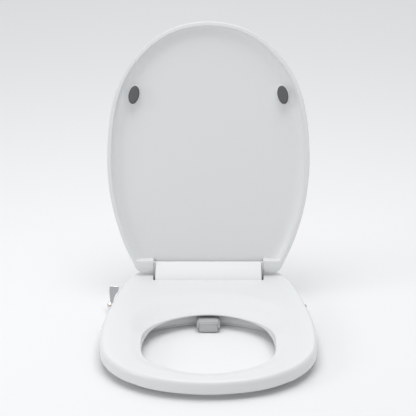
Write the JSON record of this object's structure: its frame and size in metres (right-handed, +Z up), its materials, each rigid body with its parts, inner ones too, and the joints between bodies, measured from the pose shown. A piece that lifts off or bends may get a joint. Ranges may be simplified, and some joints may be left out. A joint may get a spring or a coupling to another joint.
{
  "type": "bidet seat",
  "caption": "Slim elongated bidet seat with soft-close ring seat and lid, side control lever and sliding wash nozzles behind a guard.",
  "frame": {"origin": "middle of the underside of the mounting plate, on the plane of the bowl rim", "axes": "+Z up, -Y towards the front of the seat, +X towards the right side seen from the front"},
  "size_m": [0.37, 0.5381, 0.5075],
  "materials": {
    "white_shell": "glossy moulded",
    "pale_grey_plastic": "satin moulded",
    "grey_rubber": "matte",
    "grey_plastic": "satin",
    "inner_plastic": "satin",
    "chrome": "polished",
    "brass": "machined",
    "stainless_steel": "brushed",
    "hose": "satin"
  },
  "bodies": {
    "base": {"base_cover": "white_shell", "base_tray": "white_shell", "control_valve_body": "inner_plastic", "damper_bracket_left_inner": "inner_plastic", "damper_bracket_left_outer": "inner_plastic", "damper_bracket_right_inner": "inner_plastic", "damper_bracket_right_outer": "inner_plastic", "front_feed_tube": "stainless_steel", "front_wash_tube": "hose", "guard_pin": "stainless_steel", "hinge_cover": "white_shell", "inlet_seal_ring": "grey_rubber", "lid_damper": "inner_plastic", "mounting_plate": "stainless_steel", "nozzle_channel": "white_shell", "nozzle_feed_block": "inner_plastic", "nozzle_hood": "pale_grey_plastic", "rear_feed_tube": "stainless_steel", "rear_wash_tube": "hose", "seat_damper": "inner_plastic", "supply_tube": "hose", "tray_screw_left_front": "stainless_steel", "tray_screw_left_rear": "stainless_steel", "tray_screw_right_front": "stainless_steel", "tray_screw_right_rear": "stainless_steel", "water_inlet_fitting": "brass"},
    "lid": {"lid_shell": "white_shell", "lid_bumper_left": "grey_rubber", "lid_bumper_right": "grey_rubber", "lid_damper_pin": "stainless_steel"},
    "seat": {"seat_top_shell": "white_shell", "seat_bottom_shell": "white_shell", "seat_bumper_rear_left": "grey_rubber", "seat_bumper_rear_right": "grey_rubber", "seat_bumper_front_left": "grey_rubber", "seat_bumper_front_right": "grey_rubber", "seat_hinge_arm_left": "inner_plastic", "seat_hinge_arm_right": "inner_plastic", "seat_damper_pin": "stainless_steel"},
    "lever": {"control_lever": "chrome", "valve_spindle": "brass", "lever_screw_cap": "chrome"},
    "nozzles": {"nozzle_carriage": "inner_plastic", "rear_wash_nozzle": "white_shell", "rear_nozzle_tip": "inner_plastic", "front_wash_nozzle": "white_shell", "front_nozzle_tip": "inner_plastic"},
    "guard": {"nozzle_guard": "pale_grey_plastic"},
    "button": {"release_button": "grey_plastic"}
  },
  "joints": [
    {"name": "lid_hinge", "type": "hinge", "parent": "base", "child": "lid", "pos_m": [0, 0.015, 0.0595], "axis": [1, 0, 0], "range_deg": [0, 102]},
    {"name": "seat_hinge", "type": "hinge", "parent": "base", "child": "seat", "pos_m": [0, 0.015, 0.0595], "axis": [1, 0, 0], "range_deg": [-100, 0]},
    {"name": "lever_turn", "type": "hinge", "parent": "base", "child": "lever", "pos_m": [-0.176, -0.054, 0.012], "axis": [1, 0, 0], "range_deg": [-30, 30]},
    {"name": "nozzle_slide", "type": "slide", "parent": "base", "child": "nozzles", "axis": [0, -0.9986, -0.0523], "range_m": [0, 0.08], "stiffness_N_per_m": 40, "springref_m": -0.02},
    {"name": "guard_swing", "type": "hinge", "parent": "base", "child": "guard", "pos_m": [0, -0.1526, 0.0162], "axis": [1, 0, 0], "range_deg": [-88, 0]},
    {"name": "release_press", "type": "slide", "parent": "base", "child": "button", "axis": [-1, 0, 0], "range_m": [0, 0.003], "stiffness_N_per_m": 300}
  ],
  "couplings": [
    {"joint": "guard_swing", "follows": "nozzle_slide", "rad_per_m": -19}
  ]
}
